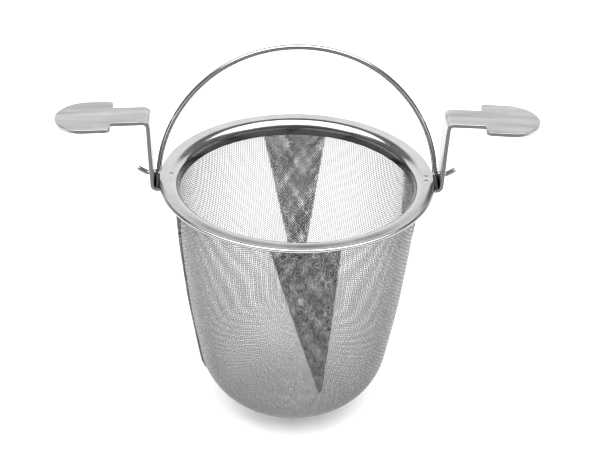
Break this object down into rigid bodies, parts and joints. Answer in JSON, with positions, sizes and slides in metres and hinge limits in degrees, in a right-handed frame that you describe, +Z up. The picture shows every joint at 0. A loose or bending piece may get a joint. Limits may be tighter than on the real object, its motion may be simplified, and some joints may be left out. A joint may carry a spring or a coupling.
{
  "type": "tea strainer",
  "caption": "Deep wire-mesh tea strainer with a wide steel rim, two bent rest tabs and a hinged wire bail handle.",
  "frame": {"origin": "centre of the basket's flat base, on the surface it stands on", "axes": "+Z up through the rim, +X through the right rest tab, +Y towards the rear pleat; the bail's pivot line runs along X"},
  "size_m": [0.1292, 0.075, 0.1113],
  "materials": {
    "polished_steel": "polished",
    "wire_cloth": "woven, bright",
    "folded_cloth": "woven, several layers",
    "satin_steel": "fine brushed",
    "steel_wire": "drawn wire, bright"
  },
  "bodies": {
    "strainer": {"rim_ring": "polished_steel", "mesh_basket": "wire_cloth", "front_pleat": "folded_cloth", "rear_pleat": "folded_cloth", "left_pleat": "folded_cloth", "right_pleat": "folded_cloth", "left_tab": "satin_steel", "right_tab": "satin_steel"},
    "bail": {"bail_handle": "steel_wire"}
  },
  "joints": [
    {"name": "bail_swing", "type": "hinge", "parent": "strainer", "child": "bail", "pos_m": [0, 0, 0.07295], "axis": [1, 0, 0], "range_deg": [-90, 90]}
  ]
}
